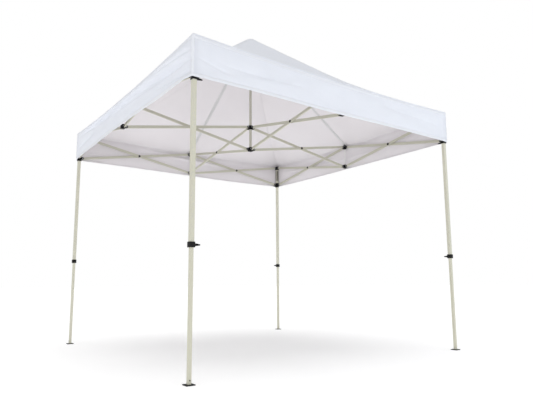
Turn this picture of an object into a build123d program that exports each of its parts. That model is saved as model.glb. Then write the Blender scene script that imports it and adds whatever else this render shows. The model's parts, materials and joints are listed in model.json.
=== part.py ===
"""A pop-up canopy: four telescopic legs, a scissor truss on each side and four more that meet at
a centre hub, a mast under the peak, and a fabric cover. Millimetres, +Z up, with the origin on
the ground midway between the legs. The frame repeats every 90 degrees about Z, so each piece is
made once, on the east side or at the north-east corner, and turned into its other places."""

import os
from math import atan2, cos, hypot, sin

from build123d import *

# Plan and heights
leg_spacing = 2900.0
half = leg_spacing / 2
upper_z = 2375.0
rise = 250.0
lower_z = upper_z - rise
valance_z = 2100.0
eave_z = 2423.0
peak_z = 3420.0

# Truss bars: flat-sided tubes, in two planes either side of the truss's middle plane.
# A bar's pin stands corner_pin out from a leg or a hub, and bracket_pin out from a side bracket.
corner_pin = 38.0
bracket_pin = 32.0
reach = half - corner_pin - bracket_pin
bar_depth = 28.0
bar_thick = 12.0
bar_wall = 1.0
bar_round = 2.0
bar_plane = 7.5
bar_length = hypot(reach, rise)

# Pins, and the yokes that hold a bar's end
bolt_r = 4.0
bolt_hole_r = 4.05
bar_hole_r = 4.08
head_r = 6.5
head_h = 3.0
cap_r = 14.0
cap_h = 4.0
spacer_r = 15.0
slack = 0.1
yoke_gap = 13.2
cheek = 4.0
cheek_depth = 28.0
yoke_root = 4.0

# Side brackets and hubs
hub_block = 42.0
block = 34.0
block_h = 44.0
block_round = 3.0

# Legs
outer_leg = 32.0
outer_wall = 1.2
outer_bottom_z = 900.5
outer_top_z = 2386.0
inner_leg = 26.0
inner_wall = 1.0
inner_top_z = 1060.0
leg_round = 3.0
guide_plug = 28.4
guide_plug_h = 25.0
foot = 66.0
foot_h = 6.0
stake_hole_r = 5.0
stake_offset = 23.0
step_hole_r = 3.6
step_pitch = 76.0
step_count = 5

# Corner fittings
fitting = 42.0
top_bracket_z = 2352.0
top_bracket_h = 48.0
socket_gap = 0.3
collar_z = 896.0
collar_h = 38.0
pin_z = 915.0
slider = 40.0
slider_gap = 1.0
slider_below = 38.0
slider_above = 22.0
slider_pin_drop = 26.0

# Lock pins with pull knobs
lock_r = 3.0
lock_gap = 0.1
tip_gap = 0.4
knob_r = 11.0
knob_tip_r = 4.5
knob_length = 44.0
knob_standoff = 2.0

# Mast
mast_r = 14.5
mast_wall = 1.5
mast_gap = 0.5
mast_bottom_z = 2114.0
socket_floor_z = 2113.6
mast_tube_top_z = 3390.0
mast_cap_r = 27.0
mast_cap_h = 22.0

# Cover
cover_half = 1480.0
cover_thick = 1.0
peak_half = 34.0

sides = ["east", "north", "west", "south"]
corners = ["ne", "nw", "sw", "se"]

east = Vector(1, 0, 0)
north = Vector(0, 1, 0)


def truss_bar(start, end, hinge_dir):
    """A bar from pin to pin, solid at its rounded ends and hollow between them."""
    flat = Plane(origin=(start + end) / 2, x_dir=end - start, z_dir=hinge_dir)
    with BuildPart() as bar:
        with BuildSketch(flat):
            SlotCenterToCenter(bar_length, bar_depth)
        extrude(amount=bar_thick / 2, both=True)
        rims = bar.faces().filter_by(Axis(start, hinge_dir)).edges()
        fillet(rims, radius=bar_round)
        with BuildSketch(flat):
            Rectangle(bar_length - bar_depth, bar_depth - 2 * bar_wall)
        extrude(amount=bar_thick / 2 - bar_wall, both=True, mode=Mode.SUBTRACT)
        with BuildSketch(flat):
            with GridLocations(bar_length / 2, 0, 3, 1):
                Circle(bar_hole_r)
        extrude(amount=bar_thick, both=True, mode=Mode.SUBTRACT)
    return bar.part


def pivot_bolt(start, end, hinge_dir):
    """The bolt, spacer and two round caps where two crossing bars are pinned."""
    flat = Plane(origin=(start + end) / 2, x_dir=end - start, z_dir=hinge_dir)
    near_face = bar_thick / 2
    far_face = -2 * bar_plane - bar_thick / 2
    gap = 2 * bar_plane - bar_thick
    with BuildPart() as bolt:
        with BuildSketch(flat.offset(far_face - slack)):
            Circle(bolt_r)
        extrude(amount=near_face - far_face + 2 * slack)
        with BuildSketch(flat.offset(near_face + slack), flat.offset(far_face - slack - cap_h)):
            Circle(cap_r)
        extrude(amount=cap_h)
        outer_rims = bolt.edges().filter_by(GeomType.CIRCLE).sort_by(Axis(start, hinge_dir))
        fillet([outer_rims[0], outer_rims[-1]], radius=cap_h / 2)
        with BuildSketch(flat.offset(-near_face - gap + slack)):
            Circle(spacer_r)
        extrude(amount=gap - 2 * slack)
    return bolt.part


def yoke(pin, outward, hinge_dir, length):
    """Two cheeks with their bolt hole, reaching back from the pin by length."""
    middle = Plane(origin=pin, x_dir=outward, z_dir=hinge_dir)
    with BuildPart() as cheeks:
        with BuildSketch(middle.offset(yoke_gap / 2), middle.offset(-yoke_gap / 2 - cheek)):
            Circle(cheek_depth / 2)
            with Locations((-length / 2, 0)):
                Rectangle(length, cheek_depth)
            Circle(bolt_hole_r, mode=Mode.SUBTRACT)
        extrude(amount=cheek)
    return cheeks.part


def yoke_bolt(pin, hinge_dir):
    """The bolt through a yoke, with its head and nut outside the cheeks."""
    middle = Plane(origin=pin, x_dir=(0, 0, 1), z_dir=hinge_dir)
    face = yoke_gap / 2 + cheek + slack
    with BuildPart() as bolt:
        with BuildSketch(middle):
            Circle(bolt_r)
        extrude(amount=face, both=True)
        with BuildSketch(middle.offset(face), middle.offset(-face - head_h)):
            Circle(head_r)
        extrude(amount=head_h)
    return bolt.part


def block_part(x, y, z, width, height, below):
    """A square block with rounded upright edges, from z - below up."""
    with BuildPart() as solid:
        with BuildSketch(Plane((x, y, z - below))):
            RectangleRounded(width, width, block_round)
        extrude(amount=height)
    return solid.part


def square_tube(x, y, bottom, top, width, wall):
    with BuildPart() as tube:
        with BuildSketch(Plane((x, y, bottom))):
            RectangleRounded(width, width, leg_round)
            offset(amount=-wall, mode=Mode.SUBTRACT)
        extrude(amount=top - bottom)
    return tube.part


def group(*solids):
    return Compound(children=[solid for part in solids for solid in part.solids()])


# Centre hubs: four yokes each, round the mast's bore or its socket
def hub(z, side):
    arms = [(east, north), (north, -east), (-east, -north), (-north, east)]
    pins = [(Vector(0, 0, z) + out * corner_pin + across * side, out, across) for out, across in arms]
    with BuildPart() as body:
        add(block_part(0, 0, z, hub_block, block_h, block_h / 2))
        for pin, out, across in pins:
            add(yoke(pin, out, across, corner_pin - hub_block / 2 + yoke_root))
        with BuildSketch(Plane.XY.offset(socket_floor_z if z == lower_z else z - block_h / 2)):
            Circle(mast_r + mast_gap)
        extrude(amount=block_h, mode=Mode.SUBTRACT)
    return group(body.part, *[yoke_bolt(pin, across) for pin, out, across in pins])


# Mid-side brackets: a yoke each way along the side and one towards the hub
def side_bracket(z, side_plane, inner_plane):
    ways = [
        (Vector(half + side_plane, bracket_pin, z), north, east),
        (Vector(half + side_plane, -bracket_pin, z), -north, east),
        (Vector(half - bracket_pin, inner_plane, z), -east, north),
    ]
    with BuildPart() as body:
        add(block_part(half, 0, z, block, block_h, block_h / 2))
        for pin, out, hinge_dir in ways:
            add(yoke(pin, out, hinge_dir, bracket_pin - block / 2 + yoke_root))
    return group(body.part, *[yoke_bolt(pin, hinge_dir) for pin, out, hinge_dir in ways])


# Yokes of a corner piece, towards both of its sides
def corner_ways(z, plane):
    return [
        (Vector(half + plane, half - corner_pin, z), -north, east),
        (Vector(half - corner_pin, half + plane, z), -east, north),
    ]


def square_bore(bottom, top, width):
    """The space that a leg takes in a corner piece."""
    with BuildPart() as bore:
        with BuildSketch(Plane((half, half, bottom))):
            RectangleRounded(width, width, leg_round)
        extrude(amount=top - bottom)
    return bore.part


def pin_bore(z, radius):
    """The hole through a leg's west-facing wall, where a lock pin goes in."""
    with BuildPart() as bore:
        with BuildSketch(Plane(origin=(half, half, z), x_dir=(0, 0, 1), z_dir=(-1, 0, 0))):
            Circle(radius)
        extrude(amount=fitting)
    return bore.part


def top_bracket():
    ways = corner_ways(upper_z, -bar_plane)
    with BuildPart() as body:
        add(block_part(half, half, top_bracket_z, fitting, top_bracket_h, 0))
        fillet(body.faces().sort_by(Axis.Z)[-1].edges(), radius=block_round)
        for pin, out, hinge_dir in ways:
            add(yoke(pin, out, hinge_dir, corner_pin - fitting / 2 + yoke_root))
        bore = square_bore(top_bracket_z, outer_top_z + socket_gap, outer_leg + socket_gap)
        add(bore, mode=Mode.SUBTRACT)
    return group(body.part, *[yoke_bolt(pin, hinge_dir) for pin, out, hinge_dir in ways])


def collar():
    with BuildPart() as body:
        add(block_part(half, half, collar_z, fitting, collar_h, 0))
        chamfer(body.faces().sort_by(Axis.Z)[0].edges(), length=block_round / 2)
        socket = square_bore(outer_bottom_z - socket_gap, collar_z + collar_h, outer_leg + socket_gap)
        passage = square_bore(collar_z, outer_bottom_z, inner_leg + 2 * socket_gap)
        add([socket, passage], mode=Mode.SUBTRACT)
        add(pin_bore(pin_z, lock_r + lock_gap), mode=Mode.SUBTRACT)
    return body.part


def leg_slider():
    ways = corner_ways(lower_z, bar_plane)
    with BuildPart() as body:
        add(block_part(half, half, lower_z, slider, slider_below + slider_above, slider_below))
        for pin, out, hinge_dir in ways:
            add(yoke(pin, out, hinge_dir, corner_pin - slider / 2 + yoke_root))
        bore = square_bore(lower_z - slider_below, lower_z + slider_above, outer_leg + slider_gap)
        add(bore, mode=Mode.SUBTRACT)
        add(pin_bore(lower_z - slider_pin_drop, lock_r + lock_gap), mode=Mode.SUBTRACT)
    return group(body.part, *[yoke_bolt(pin, hinge_dir) for pin, out, hinge_dir in ways])


def lock_pin(z, tip, wall_face):
    """A spring pin with a tapered pull knob; tip and wall_face are distances from the leg's axis."""
    outward = Plane(origin=(half, half, z), x_dir=(0, 0, 1), z_dir=(-1, 0, 0))
    with BuildPart() as pin:
        with BuildSketch(outward.offset(tip)):
            Circle(lock_r)
        extrude(amount=wall_face + knob_standoff - tip + 1)
        with BuildSketch(outward.offset(wall_face + knob_standoff)):
            Circle(knob_r)
        with BuildSketch(outward.offset(wall_face + knob_standoff + knob_length)):
            Circle(knob_tip_r)
        loft()
    return pin.part


def outer_leg_tube():
    with BuildPart() as leg:
        add(square_tube(half, half, outer_bottom_z, outer_top_z, outer_leg, outer_wall))
        add(pin_bore(pin_z, lock_r + lock_gap), mode=Mode.SUBTRACT)
        add(pin_bore(lower_z - slider_pin_drop, lock_r + lock_gap), mode=Mode.SUBTRACT)
    return leg.part


def inner_leg_tube():
    with BuildPart() as leg:
        add(square_tube(half, half, foot_h, inner_top_z, inner_leg, inner_wall))
        add(block_part(half, half, inner_top_z, guide_plug, guide_plug_h, 0))
        add(block_part(half, half, 0, foot, foot_h, 0))
        with BuildSketch(Plane((half + stake_offset, half + stake_offset, 0))):
            Circle(stake_hole_r)
        extrude(amount=foot_h, mode=Mode.SUBTRACT)
        for step in range(step_count):
            add(pin_bore(pin_z - step * step_pitch, step_hole_r), mode=Mode.SUBTRACT)
    return leg.part


def mast():
    with BuildPart() as pole:
        with BuildSketch(Plane.XY.offset(mast_bottom_z)):
            Circle(mast_r)
            Circle(mast_r - mast_wall, mode=Mode.SUBTRACT)
        extrude(amount=mast_tube_top_z - mast_bottom_z)
    with BuildPart() as cap:
        with BuildSketch(Plane.XY.offset(mast_tube_top_z)):
            Circle(mast_cap_r)
        extrude(amount=mast_cap_h)
        fillet(cap.faces().sort_by(Axis.Z)[-1].edges(), radius=mast_cap_h / 2)
    return group(pole.part, cap.part)


def cover():
    """Nine sewn panels that meet in mitred seams: a crown, four slopes and four valances."""
    with BuildPart() as skin:
        with BuildSketch(Plane.XY.offset(valance_z)):
            Rectangle(2 * cover_half, 2 * cover_half)
        extrude(amount=eave_z - valance_z)
        with BuildSketch(Plane.XY.offset(eave_z)):
            Rectangle(2 * cover_half, 2 * cover_half)
        with BuildSketch(Plane.XY.offset(peak_z)):
            Rectangle(2 * peak_half, 2 * peak_half)
        loft()
        offset(amount=-cover_thick, openings=skin.faces().sort_by(Axis.Z)[0])
    pitch = atan2(peak_z - eave_z, cover_half - peak_half)
    eave_seam = Plane.XY.offset(eave_z - cover_thick * (1 - sin(pitch)) / cos(pitch))
    crown_seam = Plane.XY.offset(peak_z - cover_thick)
    east_side = [Plane(origin=(0, 0, 0), z_dir=(1, 1, 0)), Plane(origin=(0, 0, 0), z_dir=(1, -1, 0))]
    with BuildPart() as crown:
        split(skin.part, bisect_by=crown_seam, keep=Keep.TOP)
    with BuildPart() as slope:
        split(skin.part, bisect_by=crown_seam, keep=Keep.BOTTOM)
        for seam in [eave_seam, *east_side]:
            split(bisect_by=seam, keep=Keep.TOP)
    with BuildPart() as valance:
        split(skin.part, bisect_by=eave_seam, keep=Keep.BOTTOM)
        for seam in east_side:
            split(bisect_by=seam, keep=Keep.TOP)
    turned = [panel.part.rotate(Axis.Z, 90 * turn) for panel in (slope, valance) for turn in range(4)]
    return group(crown.part, *turned)


# Bars on the east side. A high bar starts at an upper piece and falls outwards when folded.
hub_high = Vector(corner_pin, bar_plane, upper_z)
hub_low = Vector(corner_pin, -bar_plane, lower_z)
side_of_hub_low = Vector(half - bracket_pin, bar_plane, lower_z)
side_of_hub_high = Vector(half - bracket_pin, -bar_plane, upper_z)
side_high = Vector(half + bar_plane, bracket_pin, upper_z)
side_low = Vector(half - bar_plane, bracket_pin, lower_z)
corner_low = Vector(half + bar_plane, half - corner_pin, lower_z)
corner_high = Vector(half - bar_plane, half - corner_pin, upper_z)


def southward(point):
    return Vector(point.X, -point.Y, point.Z)


cross_high = group(
    truss_bar(hub_high, side_of_hub_low, north), pivot_bolt(hub_high, side_of_hub_low, north)
)
cross_low = truss_bar(hub_low, side_of_hub_high, north)
left_high = group(truss_bar(side_high, corner_low, east), pivot_bolt(side_high, corner_low, east))
left_low = truss_bar(side_low, corner_high, east)
right_high = group(
    truss_bar(southward(side_high), southward(corner_low), east),
    pivot_bolt(southward(side_high), southward(corner_low), east),
)
right_low = truss_bar(southward(side_low), southward(corner_high), east)

upper_bracket = side_bracket(upper_z, bar_plane, -bar_plane)
lower_bracket = side_bracket(lower_z, -bar_plane, bar_plane)
fittings = group(top_bracket(), collar())
outer = outer_leg_tube()
inner = inner_leg_tube()
sliding = leg_slider()
leg_pin = lock_pin(pin_z, inner_leg / 2 + tip_gap, fitting / 2)
slider_pin = lock_pin(lower_z - slider_pin_drop, outer_leg / 2 + tip_gap, slider / 2)

nodes = {
    "canopy_cover": cover(),
    "upper_hub": hub(upper_z, bar_plane),
    "lower_hub": hub(lower_z, -bar_plane),
    "mast": mast(),
}
for turn, side in enumerate(sides):
    corner, previous = corners[turn], corners[turn - 1]
    turned = {
        f"cross_bar_{side}_high": cross_high,
        f"cross_bar_{side}_low": cross_low,
        f"side_bracket_upper_{side}": upper_bracket,
        f"side_bracket_lower_{side}": lower_bracket,
        f"side_bar_{side}_{corner}_high": left_high,
        f"side_bar_{side}_{corner}_low": left_low,
        f"side_bar_{side}_{previous}_high": right_high,
        f"side_bar_{side}_{previous}_low": right_low,
        f"outer_leg_{corner}": outer,
        f"leg_fittings_{corner}": fittings,
        f"slider_{corner}": sliding,
        f"inner_leg_{corner}": inner,
        f"slider_pin_{corner}": slider_pin,
        f"leg_pin_{corner}": leg_pin,
    }
    for name, piece in turned.items():
        nodes[name] = piece.rotate(Axis.Z, 90 * turn)

os.makedirs("parts", exist_ok=True)
for name, piece in nodes.items():
    piece.label = name
    export_step(piece, f"parts/{name}.step")
print(len(nodes), "nodes; bar length", round(bar_length, 1), "mm")
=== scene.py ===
"""Looks for the pop-up canopy. The CAD frame is loaded and fixed; this script gives it materials, a
sewn fabric cover, webbing, tapes and screws, a floor, light and a camera. Metres, +Z up."""

import json
import math

import bmesh
import bpy
import numpy as np
from mathutils import Matrix, Vector, noise

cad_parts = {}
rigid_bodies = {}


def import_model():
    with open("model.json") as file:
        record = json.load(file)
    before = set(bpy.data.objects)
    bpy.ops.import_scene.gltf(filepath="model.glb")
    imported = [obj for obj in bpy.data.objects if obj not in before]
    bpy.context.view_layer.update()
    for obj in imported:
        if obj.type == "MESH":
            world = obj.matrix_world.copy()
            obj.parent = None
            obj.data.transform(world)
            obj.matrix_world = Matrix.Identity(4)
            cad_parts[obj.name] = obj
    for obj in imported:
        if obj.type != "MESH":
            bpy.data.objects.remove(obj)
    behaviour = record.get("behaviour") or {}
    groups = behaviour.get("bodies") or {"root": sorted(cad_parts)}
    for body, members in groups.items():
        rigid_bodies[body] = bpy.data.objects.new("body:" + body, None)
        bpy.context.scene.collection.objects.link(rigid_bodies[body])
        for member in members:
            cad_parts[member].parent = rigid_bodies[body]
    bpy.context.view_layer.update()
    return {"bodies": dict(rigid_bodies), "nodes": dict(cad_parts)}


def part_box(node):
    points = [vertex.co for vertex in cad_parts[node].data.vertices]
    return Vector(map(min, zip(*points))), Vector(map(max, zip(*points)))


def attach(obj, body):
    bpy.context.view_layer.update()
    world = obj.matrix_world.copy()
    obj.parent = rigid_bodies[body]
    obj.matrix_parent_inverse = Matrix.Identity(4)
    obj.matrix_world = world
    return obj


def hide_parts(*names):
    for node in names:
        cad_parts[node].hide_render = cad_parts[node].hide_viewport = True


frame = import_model()

# A corner's number is that of the side before it, going round from the east by the north. OUT
# points out of each side, and LEFT along it to its own corner
SIDES = ["east", "north", "west", "south"]
CORNERS = ["ne", "nw", "sw", "se"]
OUT = np.array([[1, 0], [0, 1], [-1, 0], [0, -1]], float)
LEFT = np.array([[0, 1], [-1, 0], [0, -1], [1, 0]], float)


# ---------------------------------------------------------------- materials
class Shader:
    """A Principled material with a few helpers for wiring nodes into it."""

    def __init__(self, name, **constants):
        self.material = bpy.data.materials.new(name)
        self.material.use_nodes = True
        self.tree = self.material.node_tree
        self.bsdf = self.tree.nodes["Principled BSDF"]
        for socket, value in constants.items():
            self.bsdf.inputs[socket.replace("_", " ")].default_value = value

    def node(self, kind, inputs=None, **settings):
        """A new node; an input that is a socket is linked, and any other is a constant."""
        made = self.tree.nodes.new(kind)
        for key, value in settings.items():
            setattr(made, key, value)
        for key, value in (inputs or {}).items():
            if isinstance(value, bpy.types.NodeSocket):
                self.tree.links.new(value, made.inputs[key])
            else:
                made.inputs[key].default_value = value
        return made

    def math(self, operation, first, second=0.0, third=0.0):
        inputs = {0: first, 1: second, 2: third}
        return self.node("ShaderNodeMath", inputs, operation=operation).outputs[0]

    def noise(self, coords, scale, detail=3.0, rough=0.5):
        inputs = {"Vector": coords, "Scale": scale, "Detail": detail, "Roughness": rough}
        return self.node("ShaderNodeTexNoise", inputs).outputs["Fac"]

    def spread(self, value, low, high, to_low, to_high):
        """Stretches low..high to to_low..to_high, and holds the value between them."""
        inputs = {"Value": value, "From Min": low, "From Max": high}
        inputs.update({"To Min": to_low, "To Max": to_high})
        return self.node("ShaderNodeMapRange", inputs).outputs["Result"]

    def blend(self, factor, first, second):
        """Mixes two colours; the numbers are the colour sockets of a Mix node."""
        return self.node("ShaderNodeMix", {0: factor, 6: first, 7: second}, data_type="RGBA").outputs[2]

    def bump(self, height, distance, strength=1.0, normal=None):
        inputs = {"Height": height, "Distance": distance, "Strength": strength}
        made = self.node("ShaderNodeBump", inputs)
        if normal:
            self.tree.links.new(normal, made.inputs["Normal"])
        return made.outputs["Normal"]

    def set(self, socket, value):
        self.tree.links.new(value, self.bsdf.inputs[socket])

    def coords(self, name):
        return self.node("ShaderNodeTexCoord").outputs[name]


def rgb(red, green, blue):
    return (red, green, blue, 1.0)


# A row of stitches: their spacing, half the thread's width, and the share that shows on top
STITCH_PITCH = 0.0045
STITCH_HALF_WIDTH = 0.0007
STITCH_SHARE = 0.72


def fabric(name, light, dark, roughness, thread=0.0006, stitch_rows=(), glow=0.45):
    """Plain-woven polyester: crossed threads, faint cloudiness, and stitch rows at given widths (v)."""
    make = Shader(
        name,
        Roughness=roughness,
        Sheen_Weight=0.15,
        Sheen_Roughness=0.6,
        Subsurface_Weight=glow,
        Subsurface_Radius=(1.0, 1.0, 1.0),
        Subsurface_Scale=0.003,
    )
    uv = make.coords("UV")
    split = make.node("ShaderNodeSeparateXYZ", {0: uv})
    waves = []
    for axis in ("X", "Y"):
        turns = make.math("MULTIPLY", split.outputs[axis], math.tau / thread)
        waves.append(make.math("SINE", turns))
    weave = make.math("MULTIPLY", waves[0], waves[1])
    cloud = make.noise(uv, 2.2, 4.0, 0.55)
    slub = make.noise(uv, 160.0, 2.0, 0.6)
    tone = make.spread(cloud, 0.3, 0.7, 0.0, 0.8)
    tone = make.math("MULTIPLY_ADD", slub, 0.25, tone)
    colour = make.blend(tone, dark, light)
    normal = make.bump(weave, 0.00012, 0.5)
    crinkle = make.noise(uv, 14.0, 5.0, 0.55)
    normal = make.bump(crinkle, 0.004, 0.25, normal)
    for row in stitch_rows:
        away = make.math("ABSOLUTE", make.math("SUBTRACT", split.outputs["Y"], row))
        on_row = make.math("LESS_THAN", away, STITCH_HALF_WIDTH)
        phase = make.math("FRACT", make.math("DIVIDE", split.outputs["X"], STITCH_PITCH))
        stitch = make.math("MULTIPLY", on_row, make.math("LESS_THAN", phase, STITCH_SHARE))
        colour = make.blend(stitch, colour, rgb(0.93, 0.94, 0.95))
        trough = make.math("SMOOTH_MIN", make.math("DIVIDE", away, 0.003), 1.0, 0.3)
        normal = make.bump(make.math("ADD", trough, stitch), 0.0006, 0.7, normal)
    make.set("Base Color", colour)
    make.set("Normal", normal)
    return make.material


def powder_coat(name, light, dark):
    """Cream powder coat on steel tube: orange peel, rubbed edges and a little dust."""
    make = Shader(name, Coat_Weight=0.12, Coat_Roughness=0.25, Metallic=0.0)
    place = make.coords("Object")
    cloud = make.noise(place, 5.0, 4.0, 0.6)
    colour = make.blend(make.spread(cloud, 0.35, 0.65, 0.0, 1.0), dark, light)
    fleck = make.noise(place, 95.0, 3.0, 0.7)
    marks = make.spread(fleck, 0.72, 0.80, 0.0, 0.35)
    colour = make.blend(marks, colour, rgb(0.42, 0.40, 0.33))
    edge = make.node("ShaderNodeNewGeometry").outputs["Pointiness"]
    on_edge = make.spread(edge, 0.53, 0.60, 0.0, 1.0)
    worn = make.math("MULTIPLY", on_edge, make.spread(fleck, 0.5, 0.6, 0.0, 0.5))
    colour = make.blend(worn, colour, rgb(0.55, 0.55, 0.52))
    make.set("Base Color", colour)
    make.set("Roughness", make.spread(cloud, 0.3, 0.7, 0.34, 0.48))
    peel = make.noise(place, 620.0, 2.0, 0.5)
    make.set("Normal", make.bump(peel, 0.0003, 0.25))
    return make.material


def plastic(name, light, dark, grain=900.0):
    """Moulded black nylon with a fine spark-eroded grain, scuffs and dust."""
    make = Shader(name, Specular_IOR_Level=0.12)
    place = make.coords("Object")
    cloud = make.noise(place, 22.0, 4.0, 0.6)
    colour = make.blend(make.spread(cloud, 0.35, 0.7, 0.0, 1.0), dark, light)
    scuff = make.noise(place, 140.0, 4.0, 0.7)
    edge = make.node("ShaderNodeNewGeometry").outputs["Pointiness"]
    on_edge = make.spread(edge, 0.52, 0.58, 0.0, 1.0)
    rubbed = make.math("MULTIPLY", on_edge, make.spread(scuff, 0.45, 0.65, 0.0, 0.7))
    colour = make.blend(rubbed, colour, rgb(0.05, 0.05, 0.052))
    make.set("Base Color", colour)
    make.set("Roughness", make.spread(scuff, 0.3, 0.7, 0.38, 0.6))
    make.set("Normal", make.bump(make.noise(place, grain, 2.0, 0.5), 0.0002, 0.35))
    return make.material


def zinc(name):
    """Zinc-plated steel: brushed, blotchy and slightly dull."""
    make = Shader(name, Metallic=1.0)
    place = make.coords("Object")
    blotch = make.noise(place, 180.0, 4.0, 0.6)
    tone = make.spread(blotch, 0.3, 0.7, 0.0, 1.0)
    make.set("Base Color", make.blend(tone, rgb(0.30, 0.31, 0.32), rgb(0.52, 0.53, 0.54)))
    make.set("Roughness", make.spread(blotch, 0.3, 0.7, 0.28, 0.5))
    make.set("Normal", make.bump(make.noise(place, 1500.0, 2.0, 0.5), 0.0001, 0.3))
    return make.material


def hook_tape(name):
    """Black hook-and-loop tape: rows of tiny hooks."""
    make = Shader(name, Roughness=0.85, Sheen_Weight=0.3)
    uv = make.coords("UV")
    dots = make.node("ShaderNodeTexVoronoi", {"Vector": uv, "Scale": 620.0, "Randomness": 0.25})
    hooks = make.spread(dots.outputs["Distance"], 0.0, 0.6, 1.0, 0.0)
    make.set("Base Color", make.blend(hooks, rgb(0.012, 0.012, 0.013), rgb(0.045, 0.045, 0.048)))
    make.set("Normal", make.bump(hooks, 0.0006, 0.8))
    return make.material


WHITE = rgb(0.790, 0.825, 0.920)
WHITE_DARK = rgb(0.765, 0.800, 0.895)
# The inner face: the pinkish tint is the lining's own, and its level, below the outer cloth's, is
# painted shade for the canopy's inside.
LINING_TINT_AND_SHADE = rgb(0.740, 0.712, 0.738)
LINING_TINT_AND_SHADE_DARK = rgb(0.715, 0.687, 0.713)
HEM_WIDTH = 0.026
SEAM_WIDTH = 0.022
BAND_WIDTH = 0.038

cover_cloth = fabric("cover_cloth", WHITE, WHITE_DARK, 0.62)
# The lining keeps its own pinkish tint, at a level lowered as painted shade.
cover_lining_tint_and_shade = fabric("cover_lining_tint_and_shade", LINING_TINT_AND_SHADE, LINING_TINT_AND_SHADE_DARK, 0.5)
SEAM_WHITE = rgb(0.850, 0.875, 0.945)
SEAM_DARK = rgb(0.825, 0.850, 0.920)
seam_rows = (0.0025, SEAM_WIDTH - 0.0025)
hem_rows = (0.0025, HEM_WIDTH - 0.003)
seam_cloth = fabric("seam_cloth", SEAM_WHITE, SEAM_DARK, 0.6, stitch_rows=seam_rows, glow=0.1)
hem_cloth = fabric("hem_cloth", SEAM_WHITE, SEAM_DARK, 0.6, stitch_rows=hem_rows, glow=0.1)
webbing = fabric(
    "webbing", rgb(0.66, 0.66, 0.67), rgb(0.58, 0.58, 0.59), 0.7, 0.0016, (0.003, BAND_WIDTH - 0.003)
)
tape_cloth = fabric("tape_cloth", rgb(0.80, 0.80, 0.79), rgb(0.70, 0.70, 0.69), 0.7, 0.001)
frame_paint = powder_coat("frame_cream", rgb(0.655, 0.645, 0.530), rgb(0.625, 0.615, 0.500))
# The truss bars and the mast have the same cream paint as the legs. Their darker copies below are
# painted shade for where they sit under the roof.
truss_paint_shaded = powder_coat("truss_cream_painted_shade", rgb(0.545, 0.535, 0.440), rgb(0.520, 0.510, 0.415))
mast_paint_shaded = powder_coat("mast_cream_painted_shade", rgb(0.52, 0.51, 0.43), rgb(0.49, 0.48, 0.40))
black_plastic = plastic("black_nylon", rgb(0.009, 0.009, 0.010), rgb(0.004, 0.004, 0.004))
knob_plastic = plastic("knob_nylon", rgb(0.008, 0.008, 0.009), rgb(0.0035, 0.0035, 0.004), 1400.0)
bolt_steel = zinc("zinc_bolts")
hook_black = hook_tape("hook_tape")


# ---------------------------------------------------------------- the CAD nodes
def islands(mesh):
    """For each polygon, the number of its connected solid, and each solid's box."""
    points = np.empty(len(mesh.vertices) * 3)
    mesh.vertices.foreach_get("co", points)
    points = points.reshape(-1, 3)
    _, joined = np.unique(np.round(points * 1e5).astype(np.int64), axis=0, return_inverse=True)
    joined = joined.ravel()
    edges = np.empty(len(mesh.edges) * 2, np.int32)
    mesh.edges.foreach_get("vertices", edges)
    edges = joined[edges.reshape(-1, 2)]
    label = np.arange(joined.max() + 1)
    while True:
        low = np.minimum(label[edges[:, 0]], label[edges[:, 1]])
        before = label.copy()
        np.minimum.at(label, edges[:, 0], low)
        np.minimum.at(label, edges[:, 1], low)
        label = label[label]
        if (label == before).all():
            break
    of_vertex = label[joined]
    boxes = {}
    for number in np.unique(of_vertex):
        own = points[of_vertex == number]
        boxes[number] = (own.min(0), own.max(0))
    first = np.array([polygon.vertices[0] for polygon in mesh.polygons])
    return of_vertex[first], boxes


def dress(node, materials, choose):
    """Gives a CAD node its materials; choose(low, high) picks one by the box of each solid in it."""
    mesh = frame["nodes"][node].data
    of_polygon, boxes = islands(mesh)
    mesh.materials.clear()
    for material in materials:
        mesh.materials.append(material)
    pick = {number: choose(*box) for number, box in boxes.items()}
    mesh.polygons.foreach_set("material_index", [pick[number] for number in of_polygon])
    mesh.update()


# Solids smaller than these are a fitting's bolts, and a bar's pivots or the mast's cap
BOLT_SIZE = 0.034
CAP_SIZE = 0.05
FOOT_TOP = 0.0065
PLUG_BOTTOM = 1.0599


def first_only(low, high):
    return 0


def bolts_apart(low, high):
    return int(max(high - low) < BOLT_SIZE)


def pivots_apart(low, high):
    return int(max(high - low) < CAP_SIZE)


def cap_apart(low, high):
    return int(high[2] - low[2] < CAP_SIZE)


def blacken_ends(mesh):
    """An inner leg's foot plate and guide plug are black; its tube is painted."""
    for polygon in mesh.polygons:
        levels = [mesh.vertices[index].co.z for index in polygon.vertices]
        polygon.material_index = int(max(levels) < FOOT_TOP or min(levels) > PLUG_BOTTOM)


for node in frame["nodes"]:
    if node.startswith(("side_bar", "cross_bar")):
        dress(node, [truss_paint_shaded, black_plastic], pivots_apart)
    elif node.startswith(("leg_pin", "slider_pin")):
        dress(node, [knob_plastic], first_only)
    elif node.startswith(("leg_fittings", "side_bracket", "slider", "upper_hub", "lower_hub")):
        dress(node, [black_plastic, bolt_steel], bolts_apart)
    elif node.startswith("mast"):
        dress(node, [mast_paint_shaded, black_plastic], cap_apart)
    elif node.startswith("outer_leg"):
        dress(node, [frame_paint], first_only)
    elif node.startswith("inner_leg"):
        dress(node, [frame_paint, black_plastic], first_only)
        blacken_ends(frame["nodes"][node].data)


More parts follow.
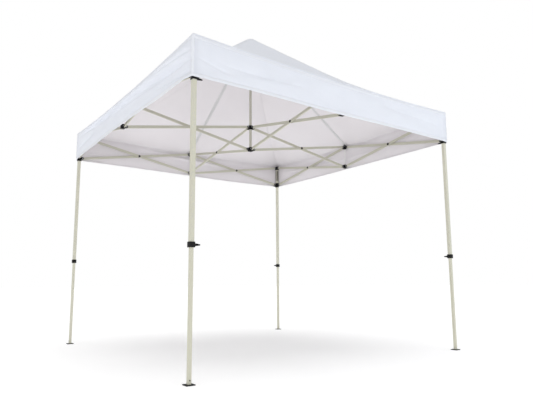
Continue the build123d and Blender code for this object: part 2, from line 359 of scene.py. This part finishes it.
# ---------------------------------------------------------------- mesh helpers
def mesh_piece(name, points, faces, uvs, materials):
    """A smooth-shaded object from points and faces, with its UVs in metres."""
    mesh = bpy.data.meshes.new(name)
    mesh.from_pydata([tuple(point) for point in points], [], faces)
    for material in materials:
        mesh.materials.append(material)
    layer = mesh.uv_layers.new(name="metres")
    layer.data.foreach_set("uv", np.asarray(uvs, np.float32).ravel())
    mesh.polygons.foreach_set("use_smooth", [True] * len(mesh.polygons))
    mesh.update()
    piece = bpy.data.objects.new(name, mesh)
    bpy.context.scene.collection.objects.link(piece)
    return piece


def thicken(piece, thickness, offset, inner=0):
    """Gives a sheet its thickness: offset is 1 outwards and -1 inwards, inner the lining's slot."""
    made = piece.modifiers.new("thickness", "SOLIDIFY")
    made.thickness = thickness
    made.offset = offset
    made.use_even_offset = False
    made.material_offset = inner
    made.material_offset_rim = 0


def smoothstep(low, high, value):
    """0 below low and 1 above high, with an even turn between them."""
    share = np.clip((value - low) / (high - low), 0.0, 1.0)
    return share * share * (3 - 2 * share)


def arc(points):
    """Each point's distance along the line of points."""
    return np.concatenate([[0], np.cumsum(np.linalg.norm(np.diff(points, axis=0), axis=1))])


def ribbon(count, wide, lengths, offsets, closed=False):
    """Faces and UVs, in metres, of a ribbon of count points along by wide points across."""
    faces, uvs = [], []
    for i in range(count if closed else count - 1):
        after = (i + 1) % count
        step = lengths[i + 1] if i + 1 < len(lengths) else lengths[i]
        for j in range(wide - 1):
            faces.append((i * wide + j, i * wide + j + 1, after * wide + j + 1, after * wide + j))
            uvs += [(lengths[i], offsets[j]), (lengths[i], offsets[j + 1])]
            uvs += [(step, offsets[j + 1]), (step, offsets[j])]
    return faces, uvs


# ---------------------------------------------------------------- the cover's surface
low_corner, high_corner = (np.array(corner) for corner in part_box("canopy_cover"))
HALF = float(high_corner[0])
HEM = float(low_corner[2])
PEAK = float(high_corner[2])
cover_points = np.array([vertex.co for vertex in frame["nodes"]["canopy_cover"].data.vertices])
EAVE = float(cover_points[cover_points[:, 0] > HALF - 1e-4][:, 2].max())
LEG_HALF = 1.45
CROWN_HALF = 0.034

# The grid: columns on each side, and rows down the roof, round the eave and down the valance
PER_SIDE = 96
ROOF_ROWS = 46
ROUND_ROWS = 4
VALANCE_ROWS = 40
# The sag at each eave's middle, by side, and at each hip's middle, by corner
EAVE_SAG = [0.030, 0.028, 0.036, 0.030]
HIP_SAG = [0.130, 0.160, 0.110, 0.150]
EAVE_ROUND = 0.010
CORNER_ROUND = 0.012

# Across a side, from -1 at its right corner to 1 at its left, closer together near the corners
columns = np.arange(4 * PER_SIDE)
side_of = columns // PER_SIDE
even = -1 + 2 * (columns % PER_SIDE) / PER_SIDE
across = 1.35 * even - 0.35 * even**3

# Per column: the eave's height, and the sag of the hip at whichever end is nearer
sag_here = np.array(EAVE_SAG)[side_of]
eave_here = EAVE - sag_here * (1 - across**2)
hip_left = np.array(HIP_SAG)[side_of]
hip_right = np.array(HIP_SAG)[side_of - 1]
lean = smoothstep(-0.35, 0.35, across)
hip_here = hip_right * (1 - lean) + hip_left * lean

# Down the roof, closer together near the peak
spacing = np.linspace(0, 1, ROOF_ROWS)
roof_share = 0.012 + 0.988 * (0.62 * spacing + 0.38 * spacing**0.6 * (1 - (1 - spacing) ** 2))
roof_share = roof_share / roof_share[-1]


def soft_min(first, second, width):
    """The smaller of two values, rounded off where they differ by less than width."""
    near = np.maximum(width - abs(first - second), 0) / width
    return np.minimum(first, second) - near * near * width / 4


def surface_rows():
    """Rows of (half-size, height, roof share, valance share) from the peak to the hem."""
    rows = []
    slope_run = HALF - CROWN_HALF
    ones = np.ones(len(columns))
    drop = np.hypot(slope_run, PEAK - eave_here)
    for share in roof_share:
        last = share * (1 - EAVE_ROUND / drop)
        size = last * HALF
        along = (size - CROWN_HALF) / slope_run
        height = PEAK - along * (PEAK - eave_here)
        height = soft_min(height, PEAK * ones, 0.012)
        hip = np.clip(along, 0, 1)
        height = height - hip_here * 4 * hip * (1 - hip) * abs(across) ** 1.5
        rows.append((size, height, last, 0 * ones))
    size, height = rows[-1][0], rows[-1][1]
    for step in range(1, ROUND_ROWS):
        t = step / ROUND_ROWS
        bend = (1 - t) ** 2, 2 * t * (1 - t), t * t
        out = bend[0] * size + (bend[1] + bend[2]) * HALF
        up = bend[0] * height + bend[1] * eave_here + bend[2] * (eave_here - EAVE_ROUND)
        rows.append((out, up, ones, 0 * ones))
    for share in np.linspace(0, 1, VALANCE_ROWS):
        up = (eave_here - EAVE_ROUND) * (1 - share) + HEM * share
        rows.append((HALF * ones, up, ones, share * ones))
    return rows


rows = surface_rows()
half_size = np.array([row[0] for row in rows])
height = np.array([row[1] for row in rows])
roof_at = np.array([row[2] for row in rows])
hem_at = np.array([row[3] for row in rows])
row_count, column_count = half_size.shape
across_grid = np.broadcast_to(across, half_size.shape)
side_grid = np.broadcast_to(side_of, half_size.shape)


def plan(size, share, side):
    """Plan positions on a square ring with rounded corners."""
    radius = np.minimum(CORNER_ROUND, 0.45 * size)
    to_corner = (1 - abs(share)) * size
    turn = math.pi / 4 * np.clip(1 - to_corner / radius, 0, 1)
    inside = to_corner < radius
    out = np.where(inside, size - radius * (1 - np.cos(turn)), size)
    along = np.where(inside, size - radius + radius * np.sin(turn), abs(share) * size)
    along = along * np.sign(share)
    flat = out[..., None] * OUT[side] + along[..., None] * LEFT[side]
    round_off = np.hypot(flat[..., 0], flat[..., 1])
    circle = size[..., None] * flat / np.maximum(round_off, 1e-9)[..., None]
    square = smoothstep(0.02, 0.09, size)[..., None]
    return circle * (1 - square) + flat * square


base = np.dstack([plan(half_size, across_grid, side_grid), height])


def normals_of(grid):
    """Unit normals of a grid that closes on itself along its columns, pointing outwards."""
    around = np.roll(grid, -1, 1) - np.roll(grid, 1, 1)
    down = np.gradient(grid, axis=0)
    normal = np.cross(down, around)
    return normal / np.maximum(np.linalg.norm(normal, axis=2, keepdims=True), 1e-12)


def valance_folds():
    """How far each point of the valance stands out of its plane beside its creases."""
    total = np.zeros(half_size.shape)
    s, h = across_grid, hem_at
    for side, creases in enumerate(CREASES):
        for places, depth, width, above, below in creases:
            at, level = np.array(places).T
            start, end, ease = at[0], at[-1], 0.35 * (at[-1] - at[0])
            window = smoothstep(start - 0.1 * ease, start + ease, s)
            window = window * (1 - smoothstep(end - 0.35 * ease, end + 0.1 * ease, s))
            line = np.polyval(np.polyfit(at, level, min(2, len(at) - 1)), s)
            gap = h - line
            valley = -depth * np.exp(-abs(gap / width) ** 1.5)
            upper = above * np.sin(math.pi * np.clip(h / np.maximum(line, 0.05), 0, 1)) ** 2 * (gap < 0)
            lower = below * smoothstep(0, 1, gap / np.maximum(1 - line, 0.05))
            total += (side_grid == side) * window * (valley + upper + lower)
    return total


# Creases of each side's valance: their line as (s, h) points, the valley's depth and width, and
# how far the cloth stands out above and below it
CREASES = [
    [
        ([(-0.85, 0.36), (0.0, 0.56), (0.9, 0.34)], 0.011, 0.045, 0.011, 0.012),
        ([(0.62, 0.66), (0.97, 0.84)], 0.003, 0.03, 0.002, 0.002),
        ([(-0.96, 0.70), (-0.70, 0.55)], 0.003, 0.03, 0.002, 0.002),
    ],
    [
        ([(-0.92, 0.48), (-0.2, 0.30), (0.5, 0.24)], 0.012, 0.045, 0.012, 0.012),
        ([(0.40, 0.52), (0.95, 0.72)], 0.003, 0.03, 0.003, 0.003),
    ],
    [
        ([(-0.97, 0.20), (0.0, 0.27), (0.45, 0.38), (1.0, 0.56)], 0.024, 0.045, 0.026, 0.026),
        ([(0.55, 0.60), (0.99, 0.86)], 0.014, 0.035, 0.010, 0.008),
        ([(0.45, 0.16), (0.99, 0.34)], 0.010, 0.030, 0.007, 0.004),
        ([(-0.97, 0.62), (-0.55, 0.44)], 0.014, 0.040, 0.008, 0.006),
    ],
    [
        ([(-0.985, 0.50), (-0.80, 0.72)], 0.009, 0.035, 0.004, 0.003),
        ([(-0.88, 0.50), (-0.62, 0.54), (-0.30, 0.44)], 0.007, 0.040, 0.006, 0.005),
        ([(0.20, 0.34), (0.6, 0.42), (0.97, 0.54)], 0.004, 0.045, 0.004, 0.004),
    ],
]
# How far the hem hangs below its line on each side: centre, half-width and depth
HEM_DIPS = [(0.3, 0.4, 0.006), (-0.4, 0.4, 0.008), (0.72, 0.20, 0.026), (-0.1, 0.5, 0.003)]
DEEPEST_FOLD = 0.0075


def noise_field(points, scale, seed):
    """Repeatable smooth noise at each point."""
    shift = Vector((seed * 7.31, seed * 3.17, seed * 5.93))
    flat = points.reshape(-1, 3)
    values = [noise.noise(Vector(point) * scale + shift) for point in flat]
    return np.array(values).reshape(points.shape[:-1])


on_roof = hem_at == 0
to_corner = (1 - abs(across_grid)) * half_size
side_slack = np.sin(math.pi * np.clip((across_grid + 1) / 2, 0, 1))
roof_mid = np.clip(4 * roof_at * (1 - roof_at), 0, 1)

billow = noise_field(base, 1.7, 1)
ripple = noise_field(base, 6.5, 2)
crumple = noise_field(base * np.array([1, 1, 1.6]), 17.0, 3)

# Roof: slack between the bands and the hips, and pulled folds that fan out of each corner
panel = np.sin(math.pi * np.clip(abs(across_grid), 0, 1))
roof_out = (-0.010 * panel + 0.012 * billow * panel + 0.0035 * ripple + 0.0012 * crumple) * roof_mid
fan = np.cos(9.0 * math.pi * (1 - abs(across_grid)) ** 0.7 + 0.6 * billow)
fan_reach = np.exp(-((1 - roof_at) / 0.16)) * smoothstep(0.02, 0.10, 1 - abs(across_grid))
fan_reach = fan_reach * np.exp(-((1 - abs(across_grid)) / 0.30))
roof_out += 0.006 * fan * fan_reach * smoothstep(0.0, 0.03, 1 - roof_at)

# Valance: slow billow, small ripples, pleats near the corners and the folds above
hang = smoothstep(0.0, 0.35, hem_at)
valance_out = hang * side_slack**0.5 * (0.007 * billow + 0.0030 * ripple + 0.0010 * crumple)
corner_wave = np.cos(math.tau * to_corner / 0.13 + 1.5 * hem_at)
corner_reach = np.exp(-(to_corner / 0.22)) * smoothstep(0.0, 0.03, to_corner)
valance_out += 0.0028 * hang * corner_wave * corner_reach
valance_out += valance_folds()
# The cloth may not fold in as far as the fittings behind it
valance_out = np.maximum(valance_out, -DEEPEST_FOLD)

displacement = np.where(on_roof, roof_out, valance_out)
# Seams pucker: a fine gather beside the eave, the hips and the hem
pucker_phase = math.tau * (across_grid * half_size) / 0.031
from_eave = (1 - roof_at) * 1.75 + hem_at * 0.32
near_eave = np.exp(-((from_eave / 0.035) ** 2)) * smoothstep(0.3, 0.7, roof_at)
near_hem = np.exp(-((1 - hem_at) * 0.32 / 0.05) ** 2) * (hem_at > 0)
displacement = displacement + 0.0006 * np.sin(pucker_phase + 3 * ripple) * (near_eave + near_hem)

surface = base + normals_of(base) * displacement[..., None]
for side, (middle, wide, depth) in enumerate(HEM_DIPS):
    dip = depth * hem_at * np.exp(-(((across_grid - middle) / wide) ** 2)) * (1 - across_grid**8)
    surface[..., 2] -= dip * (side_grid == side)
normal = normals_of(surface)


# ---------------------------------------------------------------- how the cover follows the fold
FOLLOWED = [f"leg_{corner}" for corner in CORNERS] + ["mast", "lower_hub"]
# As shares of the legs' travel in the folded pose: how far the middle of each side stands out and
# the depth of its pleats. As a share of the lower hub's drop: how far the eave's middle hangs
BULGE = 0.085
PLEAT = 0.030
SWAG = 0.34
LEG_SIGNS = [(1, 1), (-1, 1), (-1, -1), (1, -1)]


def follow_weights(points, roof, s, slack=1.0):
    """How much each point goes with each leg, the mast and the lower hub as the frame folds."""
    a = np.clip(points[..., 0] / LEG_HALF, -1, 1)
    b = np.clip(points[..., 1] / LEG_HALF, -1, 1)
    free = slack * (1 - s**2) * roof**2
    pleat = slack * PLEAT * np.cos(math.tau * 4 * s) * smoothstep(0.55, 1.0, roof) * (1 - s**2)
    keep = 1 - BULGE * free - pleat
    legs = [keep * (1 + sx * a) * (1 + sy * b) / 4 for sx, sy in LEG_SIGNS]
    drop = slack * SWAG * (1 - s**2) * smoothstep(0.86, 1.0, roof)
    held_up = 1 - 0.75 * smoothstep(0.55, 1.0, roof) * s**2
    return np.stack([*legs, (1 - roof) * held_up, drop], axis=-1)


weights = follow_weights(surface, roof_at, across_grid)
plain_weights = follow_weights(surface, roof_at, across_grid, slack=0.0)


def follow(piece, table):
    """Hooks the piece to the bodies it hangs from, each point by its own share."""
    for body, column in zip(FOLLOWED, np.asarray(table).T):
        group = piece.vertex_groups.new(name=body)
        for index, value in enumerate(column):
            if value > 1e-4:
                group.add([index], float(value), "REPLACE")
        hook = piece.modifiers.new(body, "HOOK")
        hook.object = frame["bodies"][body]
        hook.vertex_group = body
        hook.falloff_type = "NONE"
        hook.matrix_inverse = Matrix.Identity(4)
        hook.strength = 1.0


# The peak's own point: held by the four legs in plan and by the mast in height
PEAK_WEIGHTS = [0.25, 0.25, 0.25, 0.25, 1.0, 0.0]
CLOTH_THICK = 0.0009
SEAM_THICK = 0.0005
BAND_THICK = 0.0012


def build_sheet():
    """The cover: a grid that closes on itself round the peak, with one point on top."""
    top = np.array([0.0, 0.0, surface[0, :, 2].max()])
    points = np.vstack([surface.reshape(-1, 3), top])
    apex = len(points) - 1
    index = np.arange(row_count * column_count).reshape(row_count, column_count)
    following = np.roll(index, -1, 1)
    faces, uvs = [], []
    down_length = np.zeros(half_size.shape)
    down_length[1:] = np.cumsum(np.linalg.norm(np.diff(surface, axis=0), axis=2), 0)
    along = across_grid * half_size
    next_along = np.roll(along, -1, 1)
    next_down = np.roll(down_length, -1, 1)
    wrap = (columns % PER_SIDE) == PER_SIDE - 1
    next_along[:, wrap] = half_size[:, wrap]
    for column in range(column_count):
        faces.append((apex, index[0, column], following[0, column]))
        uvs += [(0, 0), (along[0, column], 0), (next_along[0, column], 0)]
    for row in range(row_count - 1):
        for column in range(column_count):
            below = row + 1
            left, right = index[:, column], following[:, column]
            faces.append((left[row], left[below], right[below], right[row]))
            uvs += [
                (along[row, column], down_length[row, column]),
                (along[below, column], down_length[below, column]),
                (next_along[below, column], next_down[below, column]),
                (next_along[row, column], next_down[row, column]),
            ]
    piece = mesh_piece("canopy_sheet", points, faces, uvs, [cover_cloth, cover_lining_tint_and_shade])
    follow(piece, np.vstack([weights.reshape(-1, weights.shape[-1]), PEAK_WEIGHTS]))
    thicken(piece, CLOTH_THICK, -1.0, 1)
    return piece


cover = build_sheet()
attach(cover, "root")
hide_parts("canopy_cover")


def strip_piece(name, lines, tables, lengths, offsets, material, closed=False, thickness=SEAM_THICK):
    """A cloth strip from rows of points: lines[i][j] is point i along and j across it."""
    count, wide = lines.shape[:2]
    faces, uvs = ribbon(count, wide, lengths, offsets, closed)
    piece = mesh_piece(name, lines.reshape(-1, 3), faces, uvs, [material])
    follow(piece, tables.reshape(-1, tables.shape[-1]))
    thicken(piece, thickness, 1.0)
    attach(piece, "root")
    return piece


def walk(points, extras, distances, lift):
    """Points at the given distances along a polyline, lifted along the normals that are the first
    three of its extra values, and the other extra values there."""
    steps = arc(points)
    places = [np.interp(distances, steps, points[:, axis]) for axis in range(3)]
    values = [np.interp(distances, steps, extras[:, axis]) for axis in range(extras.shape[1])]
    places, values = np.stack(places, 1), np.stack(values, 1)
    return places + lift * values[:, :3], values[:, 3:]


# How far seams lie off the cloth, and how far the webbing hangs under it
SKIN = 0.0001
BAND_DROP = -0.0024
outer_values = np.dstack([normal, weights])
inner_values = np.dstack([normal, plain_weights])


def down_strip(name, middle, reach, rows, width, count, clear, extras, lift, material, thickness):
    """A strip down the grid, centred on a column, from the first row that is wide enough for it."""
    picked = [(middle + step) % column_count for step in range(-reach, reach + 1)]
    offsets = np.linspace(0, width, count)
    lines, tables = [], []
    for row in rows:
        path = surface[row, picked]
        centre = arc(path)[reach]
        if centre < width * clear:
            continue
        points, table = walk(path, extras[row, picked], centre + offsets - width / 2, lift)
        lines.append(points[::-1])
        tables.append(table[::-1])
    lines, tables = np.array(lines), np.array(tables)
    lengths = arc(lines[:, count // 2])
    return strip_piece(name, lines, tables, lengths, offsets, material, thickness=thickness)


def hip_seam(corner):
    """The felled seam down a hip, on to the hem, folded round the cover's corner."""
    name, middle, rows = f"hip_seam_{CORNERS[corner]}", (corner + 1) * PER_SIDE, range(2, row_count)
    return down_strip(
        name, middle, 14, rows, SEAM_WIDTH, 7, 0.6, outer_values, SKIN, seam_cloth, SEAM_THICK
    )


def band(side):
    """Webbing under the roof, from the peak to the middle of a side."""
    name, middle, rows = f"roof_band_{SIDES[side]}", side * PER_SIDE + PER_SIDE // 2, range(ROOF_ROWS)
    return down_strip(
        name, middle, 8, rows, BAND_WIDTH, 5, 0.55, inner_values, BAND_DROP, webbing, BAND_THICK
    )


def ring_strip(name, starts, width, material):
    """A strip round the valance, starting the given distance down each column."""
    offsets = np.linspace(0, width, 4)
    lines, tables = [], []
    for column, start in enumerate(starts):
        path, extras = surface[valance_first:, column], outer_values[valance_first:, column]
        points, table = walk(path, extras, start + offsets, SKIN)
        lines.append(points)
        tables.append(table)
    lines = np.array(lines)
    return strip_piece(name, lines, np.array(tables), arc(lines[:, 0]), offsets, material, closed=True)


valance_first = ROOF_ROWS + ROUND_ROWS - 1
EAVE_SEAM_START = 0.003
eave_starts = [EAVE_SEAM_START] * column_count
hem_starts = [arc(surface[valance_first:, column])[-1] - HEM_WIDTH for column in columns]
strips = [hip_seam(corner) for corner in range(4)] + [band(side) for side in range(4)]
strips.append(ring_strip("eave_seam", eave_starts, SEAM_WIDTH, seam_cloth))
strips.append(ring_strip("hem", hem_starts, HEM_WIDTH, hem_cloth))


# ---------------------------------------------------------------- tapes and screws
def tape(name, centre_line, across_dir, width, thickness, material, body):
    """A flat tape along a line of points."""
    line = np.array(centre_line, float)
    side = np.array(across_dir, float)
    lines = np.stack([line - side * width / 2, line, line + side * width / 2], 1)
    faces, uvs = ribbon(len(line), 3, arc(line), (0, width / 2, width))
    piece = mesh_piece(name, lines.reshape(-1, 3), faces, uvs, [material])
    thicken(piece, thickness, 0.0)
    soften = piece.modifiers.new("soft_edges", "BEVEL")
    soften.width = thickness * 0.3
    soften.segments = 2
    soften.limit_method = "ANGLE"
    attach(piece, body)


LEG_FACE = LEG_HALF - 0.016
HOOK_WIDTH, HOOK_THICK = 0.016, 0.001
hook_heights = np.linspace(2.185, 2.335, 12)
hook_faces = LEG_FACE - 0.0006 - 0.0002 * np.sin(hook_heights * 90)
for corner, (sx, sy) in zip(CORNERS, LEG_SIGNS):
    on_x = [(sx * face, sy * LEG_HALF, z) for z, face in zip(hook_heights, hook_faces)]
    on_y = [(sx * LEG_HALF, sy * face, z) for z, face in zip(hook_heights, hook_faces)]
    for mark, line, across_dir in (("a", on_x, (0, 1, 0)), ("b", on_y, (1, 0, 0))):
        name, body = f"hook_strip_{corner}_{mark}", f"leg_{corner}"
        tape(name, line, across_dir, HOOK_WIDTH, HOOK_THICK, hook_black, body)

TAPE_TOP = 2.352
TIE_WIDTH, TIE_THICK = 0.009, 0.0008
for side in range(4):
    out, left = Vector((*OUT[side], 0)), Vector((*LEFT[side], 0))
    for mark, place, low in (("a", -0.006, 2.168), ("b", 0.006, 2.152)):
        line = []
        for step in range(24):
            share = step / 23
            z = TAPE_TOP + (low - TAPE_TOP) * share
            sway = 0.0025 * math.sin(5.0 * share + side + 9 * place) * share
            drift = 0.0020 * math.sin(3.1 * share + 2.0 * side) * share
            aside = left * (place + drift)
            line.append(tuple(out * (LEG_HALF + 0.004 + sway) + aside + Vector((0, 0, z))))
        name, body = f"tie_tape_{SIDES[side]}_{mark}", f"side_bracket_upper_{SIDES[side]}"
        tape(name, line, tuple(left), TIE_WIDTH, TIE_THICK, tape_cloth, body)


def screw_head(name, centre, axis, radius, body):
    """A domed screw head with a cross recess."""
    shape = bmesh.new()
    rings = []
    profile = [(0.0, 0.55), (0.35, 0.53), (0.7, 0.42), (0.93, 0.22), (1.0, 0.0), (1.0, -0.15)]
    count = 24
    for share, up in profile:
        ring = []
        for turn in range(count if share else 1):
            angle = math.tau * turn / count
            dip = 0.22 if share and share < 0.5 and turn % 6 == 0 else 0.0
            across = radius * share
            place = (across * math.cos(angle), across * math.sin(angle), radius * (up - dip))
            ring.append(shape.verts.new(place))
        rings.append(ring)
    for turn in range(count):
        shape.faces.new((rings[0][0], rings[1][turn], rings[1][(turn + 1) % count]))
    for inner, outer in zip(rings[1:], rings[2:]):
        for turn in range(count):
            after = (turn + 1) % count
            shape.faces.new((inner[turn], outer[turn], outer[after], inner[after]))
    shape.faces.new(list(reversed(rings[-1])))
    mesh = bpy.data.meshes.new(name)
    shape.to_mesh(mesh)
    shape.free()
    mesh.materials.append(black_plastic)
    mesh.polygons.foreach_set("use_smooth", [True] * len(mesh.polygons))
    piece = bpy.data.objects.new(name, mesh)
    bpy.context.scene.collection.objects.link(piece)
    turn = Vector(axis).to_track_quat("Z", "Y").to_matrix().to_4x4()
    piece.matrix_world = Matrix.Translation(centre) @ turn
    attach(piece, body)


INNER_FACE = 0.013
SCREW_HEIGHT = 0.031
SCREW_RADIUS = 0.0045
SCREW_FACES = [(0, 1), (-1, 0), (0, -1), (1, 0)]
for corner, (sx, sy), (ax, ay) in zip(CORNERS, LEG_SIGNS, SCREW_FACES):
    centre = (sx * LEG_HALF + ax * INNER_FACE, sy * LEG_HALF + ay * INNER_FACE, SCREW_HEIGHT)
    screw_head(f"foot_screw_{corner}", centre, (ax, ay, 0), SCREW_RADIUS, f"inner_leg_{corner}")


# ---------------------------------------------------------------- floor, light and camera
def make_floor():
    """A white floor with a soft shadow: it glows a little, and has a sun that lights nothing else."""
    size, cells = 120.0, 24
    steps = np.linspace(-size, size, cells + 1)
    points = [(x, y, 0.0) for y in steps for x in steps]
    wide = cells + 1
    faces = [
        (r * wide + c, r * wide + c + 1, (r + 1) * wide + c + 1, (r + 1) * wide + c)
        for r in range(cells)
        for c in range(cells)
    ]
    mesh = bpy.data.meshes.new("floor")
    mesh.from_pydata(points, [], faces)
    make = Shader("floor_white", Roughness=0.9, Specular_IOR_Level=0.0)
    tone = make.noise(make.coords("Object"), 0.5, 2.0, 0.5)
    make.set("Base Color", make.blend(tone, rgb(0.90, 0.90, 0.90), rgb(0.92, 0.92, 0.92)))
    make.bsdf.inputs["Emission Color"].default_value = rgb(1.0, 1.0, 1.0)
    make.bsdf.inputs["Emission Strength"].default_value = 0.16
    mesh.materials.append(make.material)
    floor = bpy.data.objects.new("floor", mesh)
    bpy.context.scene.collection.objects.link(floor)
    only_floor = bpy.data.collections.new("lit_from_above")
    only_floor.objects.link(floor)
    data = bpy.data.lights.new("above_floor", "SUN")
    data.energy = 1.0
    data.angle = math.radians(55)
    above = bpy.data.objects.new("above_floor", data)
    above.light_linking.receiver_collection = only_floor
    bpy.context.scene.collection.objects.link(above)


def make_world():
    """Even light, a little stronger from the south-west and below; the camera sees plain white."""
    world = bpy.data.worlds.new("studio")
    bpy.context.scene.world = world
    world.use_nodes = True
    tree = world.node_tree
    background = tree.nodes["Background"]
    place = tree.nodes.new("ShaderNodeTexCoord")
    lean = tree.nodes.new("ShaderNodeVectorMath")
    lean.operation = "DOT_PRODUCT"
    lean.inputs[1].default_value = (-0.06, -0.15, -0.08)
    level = tree.nodes.new("ShaderNodeMath")
    level.operation = "ADD"
    level.inputs[1].default_value = 0.76
    tree.links.new(place.outputs["Generated"], lean.inputs[0])
    tree.links.new(lean.outputs["Value"], level.inputs[0])
    rays = tree.nodes.new("ShaderNodeLightPath")
    brightest = tree.nodes.new("ShaderNodeMath")
    brightest.operation = "MAXIMUM"
    tree.links.new(level.outputs["Value"], brightest.inputs[0])
    tree.links.new(rays.outputs["Is Camera Ray"], brightest.inputs[1])
    tree.links.new(brightest.outputs["Value"], background.inputs["Strength"])
    background.inputs["Color"].default_value = rgb(1.0, 1.0, 1.0)


def soft_light(name, place, target, size, power, colour):
    """A round lamp of the given diameter and watts, which the camera doesn't see."""
    data = bpy.data.lights.new(name, "AREA")
    data.shape = "DISK"
    data.size = size
    data.energy = power
    data.color = colour
    light = bpy.data.objects.new(name, data)
    light.location = place
    light.rotation_euler = (Vector(target) - Vector(place)).to_track_quat("-Z", "Y").to_euler()
    light.visible_camera = False
    bpy.context.scene.collection.objects.link(light)


make_floor()
make_world()
soft_light("key", (3.4, -4.6, 2.4), (0.9, -1.4, 2.2), 2.4, 14.0, (0.66, 0.84, 1.0))
soft_light("west_fill", (-5.6, -3.6, 2.0), (-1.48, -0.9, 2.25), 2.0, 9.0, (1.0, 0.94, 0.85))
soft_light("far_fill", (-0.2, 1.0, 0.05), (-0.2, 1.0, 2.5), 1.8, 8.0, (1.0, 0.985, 0.98))

# The camera's turn from north, its rise and its tilt, in degrees
YAW, PITCH, ROLL = (math.radians(angle) for angle in (35.571, 8.422, -0.291))
CAMERA_PLACE = (-3.011, -4.510, 0.649)
LENS, SENSOR = 33.95, 36.0

forward = Vector((math.sin(YAW) * math.cos(PITCH), math.cos(YAW) * math.cos(PITCH), math.sin(PITCH)))
right = Vector((math.cos(YAW), -math.sin(YAW), 0.0))
up = right.cross(forward)
rolled_right = math.cos(ROLL) * right + math.sin(ROLL) * up
rolled_up = math.cos(ROLL) * up - math.sin(ROLL) * right
camera_data = bpy.data.cameras.new("camera")
camera_data.sensor_width = SENSOR
camera_data.lens = LENS
camera_data.clip_end = 500.0
camera = bpy.data.objects.new("camera", camera_data)
turn = Matrix((rolled_right, rolled_up, -forward)).transposed().to_4x4()
camera.matrix_world = Matrix.Translation(CAMERA_PLACE) @ turn
bpy.context.scene.collection.objects.link(camera)
bpy.context.scene.camera = camera
bpy.context.scene.view_settings.view_transform = "Standard"

bpy.context.view_layer.update()
